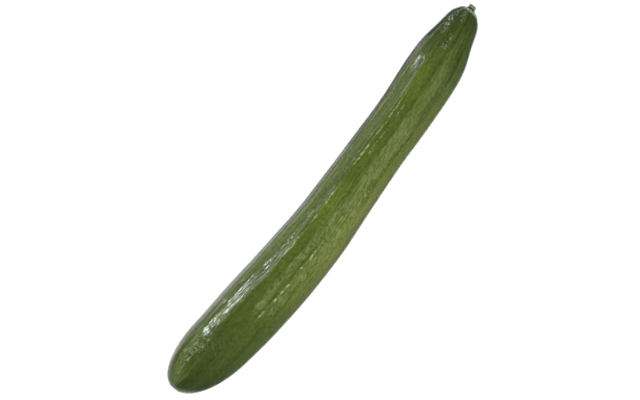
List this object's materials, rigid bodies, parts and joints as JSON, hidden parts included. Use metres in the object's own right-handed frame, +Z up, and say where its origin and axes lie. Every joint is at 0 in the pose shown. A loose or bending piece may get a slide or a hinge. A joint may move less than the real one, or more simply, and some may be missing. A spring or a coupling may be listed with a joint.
{
  "type": "cucumber",
  "caption": "Long, slightly curved green salad cucumber with shallow ribs, a tapering neck and a cut stem stub, in a tight clear shrink film that is open round the stub.",
  "frame": {"origin": "on the surface that the cucumber lies on, under the middle of the part's box", "axes": "+X along the length, from the blossom end to the stem end; +Z up, away from the surface; +Y towards the hollow side of the gentle bend"},
  "size_m": [0.33, 0.0512, 0.0455],
  "materials": {
    "cucumber_skin": "waxy green cucumber skin, satin",
    "clear_film": "clear thin glossy shrink film"
  },
  "bodies": {
    "root": {"cucumber": "cucumber_skin", "shrink_film": "clear_film"}
  },
  "joints": []
}
